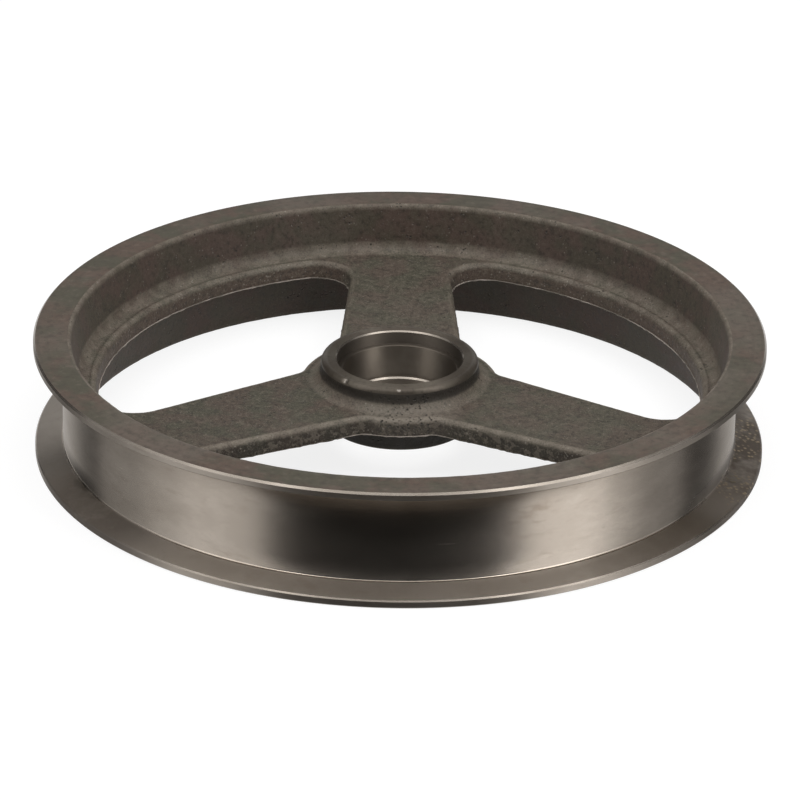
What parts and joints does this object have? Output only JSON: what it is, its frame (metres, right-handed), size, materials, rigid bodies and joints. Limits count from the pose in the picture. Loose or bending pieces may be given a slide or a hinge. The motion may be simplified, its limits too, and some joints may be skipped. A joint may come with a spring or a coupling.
{
  "type": "idler pulley",
  "caption": "Flanged flat-belt idler pulley: a spoked cast iron wheel with a turned running face and a bored hub that seats a ball bearing.",
  "frame": {"origin": "on the pulley's axis, in the plane of the lower flange's outer face", "axes": "+Z along the pulley's axis, out of the bearing seat's mouth; one spoke points along +Y"},
  "size_m": [0.3302, 0.3302, 0.0544],
  "materials": {
    "iron": "sand cast, turned bright on the running face, flanges and bearing seat"
  },
  "bodies": {
    "root": {"pulley": "iron"}
  },
  "joints": []
}
